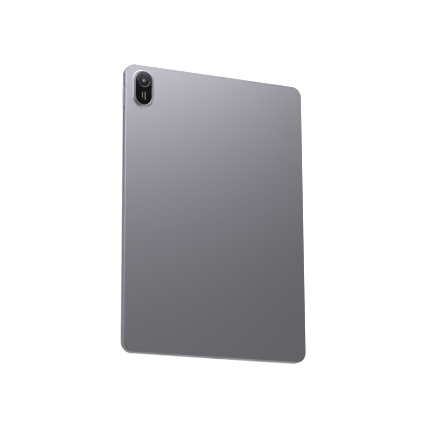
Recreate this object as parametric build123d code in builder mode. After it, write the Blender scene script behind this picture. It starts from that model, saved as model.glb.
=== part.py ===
from build123d import *
from math import atan2, degrees
import os

# A slab tablet computer lying on its screen, in millimetres.
# X runs across the slab and Y along it, towards the short edge that carries the power key.
# Z runs out of the back. The origin is the centre of the glass face that the slab lies on.

os.makedirs("parts", exist_ok=True)
BASE = (Align.CENTER, Align.CENTER, Align.MIN)  # a box that stands on its own lower face
HANGING = (Align.CENTER, Align.CENTER, Align.MAX)  # a piece that hangs from its upper face

# Housing
body_width = 177.3
body_length = 261.0
body_thickness = 7.0
corner_radius = 9.7
wall = 1.1
back_plate = 0.8
back_chamfer = 0.6
rim_chamfer = 0.3
rim_height = 0.25  # the housing's rim stops short of the glass face
inner_width = body_width - 2 * wall
inner_length = body_length - 2 * wall
inner_radius = corner_radius - wall
ceiling = body_thickness - back_plate
side_inner = inner_width / 2
end_inner = inner_length / 2

# Display stack, from the glass face inwards
lip_height = 0.15
trim_lip = 0.4
glass_gap = 0.05
glass_thickness = 0.8
glass_edge = 0.3
glass_inset = trim_lip + glass_gap
glass_width = inner_width - 2 * glass_inset
glass_length = inner_length - 2 * glass_inset
gasket_thickness = 0.2
ledge_top = 1.8
active_width = 162.0
active_length = 243.0
cell_border = 1.1
cell_width = active_width + 2 * cell_border
cell_length = active_length + 2 * cell_border
cell_thickness = 0.8
film_thickness = 0.25
guide_thickness = 0.45
reflector_thickness = 0.1
sheet_inset = 1.2  # the films and the light guide stop this far inside the cell's edge
tray_metal = 0.2
tray_gap = 0.2
tray_width = cell_width + 2 * (tray_gap + tray_metal)
tray_length = cell_length + 2 * (tray_gap + tray_metal)
cell_back = glass_thickness + cell_thickness
film_back = cell_back + film_thickness
guide_back = film_back + guide_thickness
reflector_back = guide_back + reflector_thickness
tray_back = reflector_back + tray_metal
sheet_width = cell_width - 2 * sheet_inset
sheet_length = cell_length - 2 * sheet_inset

# Display flex, folded round the tray to the driver board
flex_thickness = 0.15
flex_x = 33.0
display_flex_width = 30.0
driver_board_size = (50.0, 8.0)
driver_board_thickness = 0.4
driver_board_gap = 0.1
driver_board_front = tray_back + driver_board_gap
driver_board_y = -116.0
flex_lap = 0.6  # the flex is bonded to this much of the cell's back
flex_low = cell_back + flex_thickness / 2
flex_high = driver_board_front + flex_thickness / 2
fold_radius = (flex_high - flex_low) / 2
fold_y = -tray_length / 2 - fold_radius
trim_notch = 4.0

# LED strip along one end of the light guide
led_gap = 1.4
led_pitch = 8.0
led_count = 19
led_width = 2.2
led_depth = 0.9
led_board = 0.4

# Flat cables and boards
flex_front = 2.75
flex_back = flex_front + flex_thickness
board_front = 3.2
board_thickness = 0.8
board_back = board_front + board_thickness
connector_width = 2.6
flex_width = 3.8
flex_spacing = 5.2  # between the middles of the two flat cables that run between the batteries
main_board_lap = 6.0  # the flat cables lie over this much of the main board
port_board_lap = 7.0  # and the main flex over this much of the port's board
header_shift = 0.1  # the display cable's header stands this far off its middle

# Screws and the bosses that they go into
screw_radius = 0.7
screw_clearance = 0.1
head_radius = 1.3
head_height = 0.35
boss_radius = 2.0
small_boss_radius = 1.5
screw_tip_gap = 0.1
board_screw_length = 2.2
bracket_screw_length = 1.0
strap_screw_length = 0.8

# Main board, a tee whose stem stands between the upper speakers
main_board_width = 138.0
main_board_length = 29.0
main_board_center = (11.0, 94.5)
stem_width = 46.0
stem_length = 17.0
board_corner = 1.5
main_board_left = main_board_center[0] - main_board_width / 2
main_board_top = main_board_center[1] + main_board_length / 2
main_screws = [(-54, 83), (-54, 106), (76, 83), (76, 106), (-19, 122), (19, 122)]
can_height = 1.5
can_metal = 0.2
cans = [((-8, 95), (60, 21)), ((48, 95), (40, 21))]  # middle and size in plan
chip_height = 0.9
processor_size = 15.0
processor_center = (-22, 95)
memory_size = 12.0
memory_center = (4, 95)
graphite_thickness = 0.15
graphite_size = (116, 20)
graphite_center = (11, 95)

# Battery
cell_gap = 10.0  # the flat cables run here, between the two battery cells
battery_width = 75.0
battery_length = 164.0
battery_center_y = -12.0
battery_front = 2.95
adhesive_thickness = 0.2
battery_thickness = ceiling - adhesive_thickness - battery_front
battery_radius = 1.4
battery_x = (cell_gap + battery_width) / 2
strip_width = 8.0
strip_length = 140.0
strip_offset = 22.0
protection_width = 124.0
protection_length = 6.5
protection_gap = 0.95
protection_center_y = battery_center_y + (battery_length + protection_length) / 2 + protection_gap
protection_front = 3.4
protection_thickness = 1.6

# USB-C port, at the middle of the lower short edge
port_z = 3.6
port_outer = (8.94, 3.16)
port_inner = (8.34, 2.56)
port_depth = 7.0
port_recess = 0.2
port_clearance = 0.18
tongue_size = (6.69, 0.7)
tongue_base = 1.3
tongue_reach = 4.9
port_face = -body_length / 2 + port_recess
port_end = port_face + port_depth
usb_board_width = 48.0
usb_board_front_y = -127.0
usb_board_end_y = -104.0
usb_screws = [(-19, -108), (19, -108)]
usb_bracket_size = (19.0, 4.4)
usb_bracket_thickness = 0.3
usb_bracket_y = -126.6
usb_bracket_screws = [(-7.4, usb_bracket_y), (7.4, usb_bracket_y)]
usb_bracket_front = port_z + port_outer[1] / 2

# Speakers, one near each end of both short edges
speaker_x = 44.0
speaker_width = 37.0
speaker_depth = 16.0
speaker_front = 3.2
speaker_height = 2.9
speaker_shell = 0.45
driver_width = 24.0
driver_depth = 11.0
mesh_thickness = 0.4
mesh_size = (25.0, 2.2)
grille_holes = 10
grille_pitch = 2.2
grille_radius = 0.55
grille_z = 4.3
duct_size = (22.0, 1.5)
diaphragm_z = 3.65
diaphragm_thickness = 0.2
diaphragm_gap = 0.6
coil_size = (15.0, 5.6)
coil_wall = 0.3
coil_height = 1.1
magnet_size = (13.4, 4.0)
magnet_height = 1.2
speaker_y = end_inner - mesh_thickness - speaker_depth / 2

# Rear camera, in a raised oval island
island_center = (-71.9, 108.1)
island_size = (20.6, 35.3)
seat_depth = 0.4
skirt_top = 8.82  # the sloping skirt ends here, and a narrow polished bevel goes on to the top
skirt_width = 1.75
island_top = 9.0
bevel_width = 0.4
spigot_size = (18.4, 33.1)
spigot_gap = 0.05
window_size = (15.8, 30.5)
window_front = 8.1
window_top = 8.9
window_bevel = 0.9
window_bevel_depth = 0.3
light_well = (14.0, 28.7)
lens_center = (island_center[0], island_center[1] + (window_size[1] - window_size[0]) / 2)
lens_ring_outer = 6.25
lens_ring_inner = 5.5
lens_ring_height = 0.25
camera_size = 10.5
camera_top = 6.1
barrel_radius = 4.0
barrel_gap = 0.1
barrel_front = 4.2
barrel_shoulder = 6.6
nose_radius = 3.4
nose_top = 7.2
lens_radius = 2.7
lens_depth = 0.8
lens_bulge = 0.3
sensor_board_size = (11.0, 17.0)
sensor_board_front = 2.9
sensor_board_thickness = 0.4
sensor_size = (6.4, 4.8)
sensor_height = 0.5
camera_flex_y = 106.5

# Front camera and light sensor, looking out through the glass border
front_camera_size = (4.2, 6.0)
front_camera_gap = 0.4
front_camera_x = -side_inner + front_camera_size[0] / 2 + front_camera_gap
front_camera_height = 3.6
front_camera_lens = 1.3
light_sensor_y = 14.0
light_sensor_size = 2.2
light_sensor_height = 1.0
notch_gap = 0.2

# Microphone behind a pinhole in the long side
microphone_y = 42.1
microphone_z = 3.4
pinhole_radius = 0.4
boot_radius = 1.3
boot_length = 1.0
microphone_size = (3.5, 2.65)
microphone_depth = 1.0

# Keys. Depths are measured inwards from the wall's outer face
key_z = 3.5
key_height = 2.7
key_stand = 0.5
key_round = 0.25
key_gap = 0.15
volume_y = 100.2
volume_length = 20.5
power_x = -71.0
power_length = 11.0
flange_depth = 0.85
flange_back = wall + flange_depth
flange_extra = 0.9
flange_side = 0.3
rocker_flange_gap = 0.45  # between the wall and the flange, room for the rocker to tilt
rocker_flange_front = wall + rocker_flange_gap
power_flange_gap = 0.05
power_flange_front = wall + power_flange_gap
plunger_radius = 0.8
plunger_gap = 0.05
plunger_length = 1.35
plunger_spread = 7.25  # from the rocker's middle to each plunger
bore_clearance = 0.05
switch_size = 2.8
switch_gap = 0.6
switch_front = flange_back + switch_gap
switch_depth = 1.4
switch_floor = 0.25
key_flex_front = switch_front + switch_depth
bracket_front = key_flex_front + flex_thickness
bracket_metal = 0.5
bracket_top = 5.4
tab_metal = 0.4
tab_width = 3.2
tab_reach = 3.4
tab_screw = 6.3
tail_offset = 2.4  # from the power key's tab to the tail of the key flex
tail_y = 101.5
tail_lap = 1.0  # the tail lies over this much of the main board
pivot_width = 1.0
pivot_height = 1.8
pivot_gap = 0.05
volume_tabs = 10.7
power_tabs = 6.6

# Antennas, by the upper corner and the long side
antenna_thickness = 1.2
antenna_gap = 0.2
corner_antenna_size = (18.0, 13.0)
corner_antenna_center = (75.5, 119.5)
side_antenna_size = (4.2, 34.0)
side_antenna_center = (side_inner - side_antenna_size[0] / 2 - antenna_gap, 40.0)
antennas_plan = [
    (corner_antenna_center, corner_antenna_size),
    (side_antenna_center, side_antenna_size),
]

# Each key's own plane: local x along the wall, local y up, and its normal into the housing
volume_plane = Plane(origin=(-body_width / 2, volume_y, key_z), x_dir=(0, 1, 0), z_dir=(1, 0, 0))
power_plane = Plane(origin=(power_x, body_length / 2, key_z), x_dir=(1, 0, 0), z_dir=(0, -1, 0))
keys = [(volume_plane, volume_length, volume_tabs), (power_plane, power_length, power_tabs)]
bracket_screws = [
    plane.from_local_coords((side * tabs, bracket_top - key_z, tab_screw))
    for plane, _, tabs in keys
    for side in (-1, 1)
]
speaker_corners = {
    "top_left": (-speaker_x, speaker_y),
    "top_right": (speaker_x, speaker_y),
    "bottom_left": (-speaker_x, -speaker_y),
    "bottom_right": (speaker_x, -speaker_y),
}


# Rear cover: one milled aluminium shell, the back and the four walls together
with BuildPart() as rear_cover:
    with BuildSketch(Plane.XY.offset(rim_height)):
        RectangleRounded(body_width, body_length, corner_radius)
    extrude(amount=body_thickness - rim_height)
    chamfer(rear_cover.edges().group_by(Axis.Z)[-1], back_chamfer)
    chamfer(rear_cover.edges().group_by(Axis.Z)[0], rim_chamfer)
    with BuildSketch(Plane.XY.offset(rim_height)):
        RectangleRounded(inner_width, inner_length, inner_radius)
    extrude(amount=ceiling - rim_height, mode=Mode.SUBTRACT)
    # Bosses for the two boards, the port's strap and the key brackets
    with Locations(*[(x, y, ceiling) for x, y in main_screws + usb_screws]):
        Cylinder(boss_radius, ceiling - board_back, align=HANGING)
    with Locations(*[(x, y, ceiling) for x, y in main_screws + usb_screws]):
        Cylinder(screw_radius, ceiling - board_back, align=HANGING, mode=Mode.SUBTRACT)
    with Locations(*[(place.X, place.Y, ceiling) for place in bracket_screws]):
        Cylinder(small_boss_radius, ceiling - bracket_top, align=HANGING)
    with Locations(*[(place.X, place.Y, ceiling - screw_tip_gap) for place in bracket_screws]):
        Cylinder(screw_radius, ceiling - bracket_top, align=HANGING, mode=Mode.SUBTRACT)
    with Locations(*[(x, y, ceiling) for x, y in usb_bracket_screws]):
        Cylinder(
            small_boss_radius,
            ceiling - usb_bracket_front - usb_bracket_thickness,
            align=HANGING,
        )
    with Locations(*[(x, y, ceiling - screw_tip_gap) for x, y in usb_bracket_screws]):
        Cylinder(
            screw_radius,
            ceiling - usb_bracket_front - usb_bracket_thickness,
            align=HANGING,
            mode=Mode.SUBTRACT,
        )
    # The camera island's opening, with a shallow seat that its flange drops into
    with BuildSketch(Plane.XY.offset(body_thickness)):
        with Locations(island_center):
            SlotOverall(island_size[1] + 2 * spigot_gap, island_size[0] + 2 * spigot_gap, rotation=90)
    extrude(amount=-seat_depth, mode=Mode.SUBTRACT)
    with BuildSketch(Plane.XY.offset(body_thickness)):
        with Locations(island_center):
            SlotOverall(spigot_size[1] + 2 * spigot_gap, spigot_size[0] + 2 * spigot_gap, rotation=90)
    extrude(amount=-back_plate, mode=Mode.SUBTRACT)
    # Openings for the keys
    for plane, length, _ in keys:
        with BuildSketch(plane):
            SlotOverall(length + 2 * key_gap, key_height + 2 * key_gap)
        extrude(amount=wall, mode=Mode.SUBTRACT)
    # Microphone pinhole
    with Locations(Plane(origin=(-body_width / 2, microphone_y, microphone_z), z_dir=(1, 0, 0))):
        Cylinder(pinhole_radius, 2 * wall, mode=Mode.SUBTRACT)
    # Port opening
    with BuildSketch(Plane(origin=(0, -body_length / 2, port_z), x_dir=(1, 0, 0), z_dir=(0, 1, 0))):
        SlotOverall(port_outer[0] + 2 * port_clearance, port_outer[1] + 2 * port_clearance)
    extrude(amount=wall, mode=Mode.SUBTRACT)
    # Speaker grilles: a row of round holes in front of each speaker
    for x, y in speaker_corners.values():
        end = body_length / 2 if y > 0 else -body_length / 2
        with Locations(Plane(origin=(x, end, grille_z), x_dir=(1, 0, 0), z_dir=(0, 1, 0))):
            with GridLocations(grille_pitch, grille_pitch, grille_holes, 1):
                Cylinder(grille_radius, 2 * wall + grille_radius, mode=Mode.SUBTRACT)
rear_cover.part.label = "rear_cover"
export_step(rear_cover.part, "parts/rear_cover.step")

# Display trim: the plastic frame that carries the glass and fills the seam round it
with BuildPart() as display_trim:
    with BuildSketch(Plane.XY.offset(lip_height)):
        RectangleRounded(inner_width, inner_length, inner_radius)
        RectangleRounded(
            glass_width + 2 * glass_gap,
            glass_length + 2 * glass_gap,
            inner_radius - trim_lip,
            mode=Mode.SUBTRACT,
        )
    extrude(amount=ledge_top - lip_height)
    with BuildSketch(Plane.XY.offset(glass_thickness + gasket_thickness)):
        RectangleRounded(inner_width, inner_length, inner_radius)
        Rectangle(tray_width + 2 * tray_gap, tray_length + 2 * tray_gap, mode=Mode.SUBTRACT)
        with Locations((front_camera_x, 0)):
            Rectangle(*[side + 2 * notch_gap for side in front_camera_size], mode=Mode.SUBTRACT)
        with Locations((front_camera_x, light_sensor_y)):
            Rectangle(*[light_sensor_size + 2 * notch_gap] * 2, mode=Mode.SUBTRACT)
        with Locations((flex_x, -tray_length / 2)):
            Rectangle(display_flex_width + 2 * notch_gap, trim_notch, mode=Mode.SUBTRACT)
    extrude(amount=ledge_top - glass_thickness - gasket_thickness)
display_trim.part.label = "display_trim"
export_step(display_trim.part, "parts/display_trim.step")

# Display gasket: the adhesive foam between the glass and the trim's ledge
with BuildPart() as display_gasket:
    with BuildSketch(Plane.XY.offset(glass_thickness)):
        RectangleRounded(glass_width, glass_length, inner_radius - glass_inset)
        Rectangle(tray_width + 2 * tray_gap, tray_length + 2 * tray_gap, mode=Mode.SUBTRACT)
        with Locations((front_camera_x, 0)):
            Rectangle(*[side + 2 * notch_gap for side in front_camera_size], mode=Mode.SUBTRACT)
        with Locations((front_camera_x, light_sensor_y)):
            Rectangle(*[light_sensor_size + 2 * notch_gap] * 2, mode=Mode.SUBTRACT)
    extrude(amount=gasket_thickness)
display_gasket.part.label = "display_gasket"
export_step(display_gasket.part, "parts/display_gasket.step")

# Cover glass: the slab's front, with its outer edge eased
with BuildPart() as cover_glass:
    with BuildSketch():
        RectangleRounded(glass_width, glass_length, inner_radius - glass_inset)
    extrude(amount=glass_thickness)
    fillet(cover_glass.edges().group_by(Axis.Z)[0], glass_edge)
cover_glass.part.label = "cover_glass"
export_step(cover_glass.part, "parts/cover_glass.step")

# Liquid crystal cell, bonded to the back of the glass
with BuildPart() as lcd_cell:
    with Locations((0, 0, glass_thickness)):
        Box(cell_width, cell_length, cell_thickness, align=BASE)
lcd_cell.part.label = "lcd_cell"
export_step(lcd_cell.part, "parts/lcd_cell.step")

# Diffuser and brightness films
with BuildPart() as optical_films:
    with Locations((0, 0, cell_back)):
        Box(sheet_width, sheet_length, film_thickness, align=BASE)
optical_films.part.label = "optical_films"
export_step(optical_films.part, "parts/optical_films.step")

# Light guide, shorter at the end where the LED strip lights it
with BuildPart() as light_guide:
    with Locations((0, -led_gap / 2, film_back)):
        Box(sheet_width, sheet_length - led_gap, guide_thickness, align=BASE)
light_guide.part.label = "light_guide"
export_step(light_guide.part, "parts/light_guide.step")

# LED strip: a narrow board with a row of lamps against the light guide's end
with BuildPart() as led_strip:
    with Locations((0, sheet_length / 2 - led_board / 2, film_back)):
        Box(sheet_width, led_board, guide_thickness, align=BASE)
    with Locations((0, sheet_length / 2 - led_board - led_depth / 2, film_back)):
        with GridLocations(led_pitch, led_pitch, led_count, 1):
            Box(led_width, led_depth, guide_thickness, align=BASE)
led_strip.part.label = "led_strip"
export_step(led_strip.part, "parts/led_strip.step")

# Reflector under the light guide
with BuildPart() as reflector_sheet:
    with Locations((0, 0, guide_back)):
        Box(sheet_width, sheet_length, reflector_thickness, align=BASE)
reflector_sheet.part.label = "reflector_sheet"
export_step(reflector_sheet.part, "parts/reflector_sheet.step")

# Backlight tray: a thin steel pan round the display stack, notched for the display flex
with BuildPart() as backlight_tray:
    with Locations((0, 0, glass_thickness + tray_gap)):
        Box(tray_width, tray_length, tray_back - glass_thickness - tray_gap, align=BASE)
        Box(
            tray_width - 2 * tray_metal,
            tray_length - 2 * tray_metal,
            reflector_back - glass_thickness - tray_gap,
            align=BASE,
            mode=Mode.SUBTRACT,
        )
    with Locations((flex_x, -tray_length / 2, cell_back)):
        Box(
            display_flex_width + 2 * tray_gap,
            4 * tray_gap,
            tray_back - cell_back - tray_metal,
            align=BASE,
            mode=Mode.SUBTRACT,
        )
backlight_tray.part.label = "backlight_tray"
export_step(backlight_tray.part, "parts/backlight_tray.step")

# Display flex: bonded to the cell's edge and folded round the tray to the driver board
with BuildPart() as display_flex:
    with BuildSketch(Plane.YZ.offset(flex_x - display_flex_width / 2)):
        with BuildLine() as fold:
            inner_run = Line((-cell_length / 2 + flex_lap, flex_low), (fold_y, flex_low))
            turn = TangentArc(
                inner_run @ 1, (fold_y, flex_high), tangent=inner_run % 1
            )
            Line(turn @ 1, (driver_board_y - driver_board_size[1] / 2, flex_high))
        trace(fold.line, line_width=flex_thickness)
    extrude(amount=display_flex_width)
display_flex.part.label = "display_flex"
export_step(display_flex.part, "parts/display_flex.step")

# Display driver board, flat against the tray
with BuildPart() as display_driver_board:
    with Locations((flex_x, driver_board_y, driver_board_front)):
        Box(*driver_board_size, driver_board_thickness, align=BASE)
display_driver_board.part.label = "display_driver_board"
export_step(display_driver_board.part, "parts/display_driver_board.step")

# Display cable: from the driver board up between the battery cells to the main board
cable_top = main_board_center[1] - main_board_length / 2 + main_board_lap
with BuildPart() as display_cable:
    with BuildSketch(Plane.XY.offset(flex_front)):
        with Locations((flex_spacing / 2, (cable_top + driver_board_y) / 2)):
            Rectangle(flex_width, cable_top - driver_board_y)
        with Locations((flex_spacing / 2 - flex_width / 2, driver_board_y)):
            Rectangle(
                flex_x - driver_board_size[0] / 2 - flex_spacing / 2 + flex_width / 2,
                flex_width,
                align=(Align.MIN, Align.CENTER),
            )
    extrude(amount=flex_thickness)
display_cable.part.label = "display_cable"
export_step(display_cable.part, "parts/display_cable.step")

# Main flex: joins the port's board to the main board beside the display cable
main_flex_low = usb_board_end_y - port_board_lap
with BuildPart() as main_flex:
    with Locations((-flex_spacing / 2, (cable_top + main_flex_low) / 2, flex_front)):
        Box(flex_width, cable_top - main_flex_low, flex_thickness, align=BASE)
main_flex.part.label = "main_flex"
export_step(main_flex.part, "parts/main_flex.step")

# Battery: two flat pouch cells side by side
for name, x in (("battery_cell_left", -battery_x), ("battery_cell_right", battery_x)):
    with BuildPart() as battery_cell:
        with Locations((x, battery_center_y, battery_front)):
            Box(battery_width, battery_length, battery_thickness, align=BASE)
        fillet(battery_cell.edges().filter_by(Axis.Y), battery_radius)
    battery_cell.part.label = name
    export_step(battery_cell.part, f"parts/{name}.step")

# Battery protection board, across the tops of both cells
with BuildPart() as battery_protection_board:
    with Locations((0, protection_center_y, protection_front)):
        Box(protection_width, protection_length, board_thickness, align=BASE)
        with GridLocations(battery_width, protection_length, 2, 1):
            Box(battery_width / 3, protection_length / 2, protection_thickness, align=BASE)
battery_protection_board.part.label = "battery_protection_board"
export_step(battery_protection_board.part, "parts/battery_protection_board.step")

# Pull-tab adhesive strips between the cells and the back
with BuildPart() as battery_adhesive:
    for x in (-battery_x, battery_x):
        with Locations((x, battery_center_y, ceiling - adhesive_thickness)):
            with GridLocations(2 * strip_offset, strip_length, 2, 1):
                Box(strip_width, strip_length, adhesive_thickness, align=BASE)
battery_adhesive.part.label = "battery_adhesive"
export_step(battery_adhesive.part, "parts/battery_adhesive.step")

# Main board
with BuildPart() as main_board:
    with BuildSketch(Plane.XY.offset(board_front)) as board_outline:
        with Locations(main_board_center):
            Rectangle(main_board_width, main_board_length)
        with Locations((0, main_board_top)):
            Rectangle(stem_width, stem_length, align=(Align.CENTER, Align.MIN))
        fillet(board_outline.vertices(), board_corner)
        with Locations(*main_screws):
            Circle(screw_radius + screw_clearance, mode=Mode.SUBTRACT)
    extrude(amount=board_thickness)
main_board.part.label = "main_board"
export_step(main_board.part, "parts/main_board.step")

# Processor and memory, on the board's back under the larger can
with BuildPart() as processor:
    with Locations((*processor_center, board_back)):
        Box(processor_size, processor_size, chip_height, align=BASE)
processor.part.label = "processor"
export_step(processor.part, "parts/processor.step")

with BuildPart() as memory_chip:
    with Locations((*memory_center, board_back)):
        Box(memory_size, memory_size, chip_height, align=BASE)
memory_chip.part.label = "memory_chip"
export_step(memory_chip.part, "parts/memory_chip.step")

# Shield cans: drawn steel lids over the chips
with BuildPart() as shield_cans:
    for (x, y), (width, length) in cans:
        with Locations((x, y, board_back)):
            Box(width, length, can_height, align=BASE)
            Box(
                width - 2 * can_metal,
                length - 2 * can_metal,
                can_height - can_metal,
                align=BASE,
                mode=Mode.SUBTRACT,
            )
shield_cans.part.label = "shield_cans"
export_step(shield_cans.part, "parts/shield_cans.step")

# Graphite sheet on the inside of the back, over the cans
with BuildPart() as graphite_sheet:
    with Locations((*graphite_center, ceiling - graphite_thickness)):
        Box(*graphite_size, graphite_thickness, align=BASE)
graphite_sheet.part.label = "graphite_sheet"
export_step(graphite_sheet.part, "parts/graphite_sheet.step")

# Board connectors: low headers that join each flat cable to the front of a board
header_places = [
    (-flex_spacing / 2, cable_top - connector_width / 2),
    (flex_spacing / 2 + header_shift, cable_top - connector_width / 2),
    (-flex_spacing / 2, main_flex_low + connector_width / 2),
    (main_board_left + connector_width / 2, camera_flex_y),
]
with BuildPart() as board_connectors:
    for x, y in header_places:
        with Locations((x, y, flex_back)):
            Box(connector_width, connector_width, board_front - flex_back, align=BASE)
board_connectors.part.label = "board_connectors"
export_step(board_connectors.part, "parts/board_connectors.step")

# Port board, notched round the receptacle
with BuildPart() as usb_board:
    with BuildSketch(Plane.XY.offset(board_front)):
        with Locations((0, (usb_board_front_y + usb_board_end_y) / 2)):
            RectangleRounded(usb_board_width, usb_board_end_y - usb_board_front_y, board_corner)
        with Locations((0, usb_board_front_y)):
            Rectangle(
                port_outer[0] + 2 * port_clearance,
                2 * (port_end - usb_board_front_y + port_clearance),
                mode=Mode.SUBTRACT,
            )
        with Locations(*usb_screws):
            Circle(screw_radius + screw_clearance, mode=Mode.SUBTRACT)
    extrude(amount=board_thickness)
usb_board.part.label = "usb_board"
export_step(usb_board.part, "parts/usb_board.step")

# USB-C shell: a drawn steel tube
port_plane = Plane(origin=(0, port_face, port_z), x_dir=(-1, 0, 0), z_dir=(0, 1, 0))
with BuildPart() as usb_shell:
    with BuildSketch(port_plane):
        SlotOverall(*port_outer)
        SlotOverall(*port_inner, mode=Mode.SUBTRACT)
    extrude(amount=port_depth)
usb_shell.part.label = "usb_shell"
export_step(usb_shell.part, "parts/usb_shell.step")

# USB-C tongue: the contact blade on its moulded base
with BuildPart() as usb_tongue:
    with BuildSketch(port_plane.offset(port_depth)):
        SlotOverall(*port_inner)
    extrude(amount=-tongue_base)
    with BuildSketch(port_plane.offset(port_depth)):
        Rectangle(*tongue_size)
    extrude(amount=-tongue_base - tongue_reach)
usb_tongue.part.label = "usb_tongue"
export_step(usb_tongue.part, "parts/usb_tongue.step")

# Port strap: the steel plate that holds the receptacle to the back
with BuildPart() as usb_bracket:
    with BuildSketch(Plane.XY.offset(usb_bracket_front)):
        with Locations((0, usb_bracket_y)):
            RectangleRounded(*usb_bracket_size, board_corner)
        with Locations(*usb_bracket_screws):
            Circle(screw_radius + screw_clearance, mode=Mode.SUBTRACT)
    extrude(amount=usb_bracket_thickness)
usb_bracket.part.label = "usb_bracket"
export_step(usb_bracket.part, "parts/usb_bracket.step")

# Speakers: a sealed box with a duct to the grille, and a diaphragm that moves along Z
for corner, (x, y) in speaker_corners.items():
    out = 1 if y > 0 else -1
    with BuildPart() as speaker_box:
        with Locations((x, y, speaker_front)):
            Box(speaker_width, speaker_depth, speaker_height, align=BASE)
        fillet(speaker_box.edges().filter_by(Axis.Z), board_corner)
        with Locations((x, y, speaker_front)):
            Box(
                driver_width,
                driver_depth,
                speaker_height - speaker_shell,
                align=BASE,
                mode=Mode.SUBTRACT,
            )
        with Locations((x, y + out * speaker_depth / 2, grille_z)):
            Box(duct_size[0], speaker_depth, duct_size[1], mode=Mode.SUBTRACT)
    speaker_box.part.label = f"speaker_box_{corner}"
    export_step(speaker_box.part, f"parts/speaker_box_{corner}.step")

    with BuildPart() as speaker_diaphragm:
        with BuildSketch(Plane.XY.offset(diaphragm_z)):
            with Locations((x, y)):
                RectangleRounded(
                    driver_width - 2 * diaphragm_gap,
                    driver_depth - 2 * diaphragm_gap,
                    board_corner,
                )
        extrude(amount=diaphragm_thickness)
        with BuildSketch(Plane.XY.offset(diaphragm_z + diaphragm_thickness)):
            with Locations((x, y)):
                RectangleRounded(*coil_size, board_corner)
                RectangleRounded(
                    *[side - 2 * coil_wall for side in coil_size],
                    board_corner - coil_wall,
                    mode=Mode.SUBTRACT,
                )
        extrude(amount=coil_height)
    speaker_diaphragm.part.label = f"speaker_diaphragm_{corner}"
    export_step(speaker_diaphragm.part, f"parts/speaker_diaphragm_{corner}.step")

with BuildPart() as speaker_magnets:
    with Locations(*[(x, y, speaker_front + speaker_height - speaker_shell)
                     for x, y in speaker_corners.values()]):
        Box(*magnet_size, magnet_height, align=HANGING)
speaker_magnets.part.label = "speaker_magnets"
export_step(speaker_magnets.part, "parts/speaker_magnets.step")

with BuildPart() as speaker_meshes:
    for x, y in speaker_corners.values():
        out = 1 if y > 0 else -1
        with Locations((x, out * (end_inner - mesh_thickness / 2), grille_z)):
            Box(mesh_size[0], mesh_thickness, mesh_size[1])
speaker_meshes.part.label = "speaker_meshes"
export_step(speaker_meshes.part, "parts/speaker_meshes.step")

# Camera island ring: an oval aluminium collar let into the back, with a sloping skirt that
# ends in a narrow bevel round the window
skirt_taper = degrees(atan2(skirt_width, skirt_top - body_thickness))
bevel_taper = degrees(atan2(bevel_width, island_top - skirt_top))
with BuildPart() as camera_ring:
    with BuildSketch(Plane.XY.offset(ceiling)):
        with Locations(island_center):
            SlotOverall(spigot_size[1], spigot_size[0], rotation=90)
    extrude(amount=back_plate - seat_depth)
    with BuildSketch(Plane.XY.offset(body_thickness - seat_depth)):
        with Locations(island_center):
            SlotOverall(island_size[1], island_size[0], rotation=90)
    extrude(amount=seat_depth)
    with BuildSketch(Plane.XY.offset(body_thickness)):
        with Locations(island_center):
            SlotOverall(island_size[1], island_size[0], rotation=90)
    extrude(amount=skirt_top - body_thickness, taper=skirt_taper)
    with BuildSketch(Plane.XY.offset(skirt_top)):
        with Locations(island_center):
            SlotOverall(
                island_size[1] - 2 * skirt_width,
                island_size[0] - 2 * skirt_width,
                rotation=90,
            )
    extrude(amount=island_top - skirt_top, taper=bevel_taper)
    with BuildSketch(Plane.XY.offset(ceiling)):
        with Locations(island_center):
            SlotOverall(light_well[1], light_well[0], rotation=90)
    extrude(amount=island_top - ceiling, mode=Mode.SUBTRACT)
    with BuildSketch(Plane.XY.offset(window_front)):
        with Locations(island_center):
            SlotOverall(window_size[1] + 2 * spigot_gap, window_size[0] + 2 * spigot_gap, rotation=90)
    extrude(amount=island_top - window_front, mode=Mode.SUBTRACT)
camera_ring.part.label = "camera_ring"
export_step(camera_ring.part, "parts/camera_ring.step")

# Camera window: the black-backed oval glass in the ring, with a wide shallow bevel
window_taper = degrees(atan2(window_bevel, window_bevel_depth))
with BuildPart() as camera_window:
    with BuildSketch(Plane.XY.offset(window_front)):
        with Locations(island_center):
            SlotOverall(window_size[1], window_size[0], rotation=90)
    extrude(amount=window_top - window_bevel_depth - window_front)
    with BuildSketch(Plane.XY.offset(window_top - window_bevel_depth)):
        with Locations(island_center):
            SlotOverall(window_size[1], window_size[0], rotation=90)
    extrude(amount=window_bevel_depth, taper=window_taper)
camera_window.part.label = "camera_window"
export_step(camera_window.part, "parts/camera_window.step")

# Lens ring: the thin metal trim on the window, concentric with its upper end
with BuildPart() as camera_lens_ring:
    with BuildSketch(Plane.XY.offset(window_top)):
        with Locations(lens_center):
            Circle(lens_ring_outer)
            Circle(lens_ring_inner, mode=Mode.SUBTRACT)
    extrude(amount=lens_ring_height)
camera_lens_ring.part.label = "camera_lens_ring"
export_step(camera_lens_ring.part, "parts/camera_lens_ring.step")

# Camera housing: the focus actuator's frame, bored for the lens barrel
camera_front = sensor_board_front + sensor_board_thickness
with BuildPart() as camera_housing:
    with Locations((*lens_center, camera_front)):
        Box(camera_size, camera_size, camera_top - camera_front, align=BASE)
        Cylinder(
            barrel_radius + barrel_gap,
            camera_top - camera_front,
            align=BASE,
            mode=Mode.SUBTRACT,
        )
camera_housing.part.label = "camera_housing"
export_step(camera_housing.part, "parts/camera_housing.step")

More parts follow.
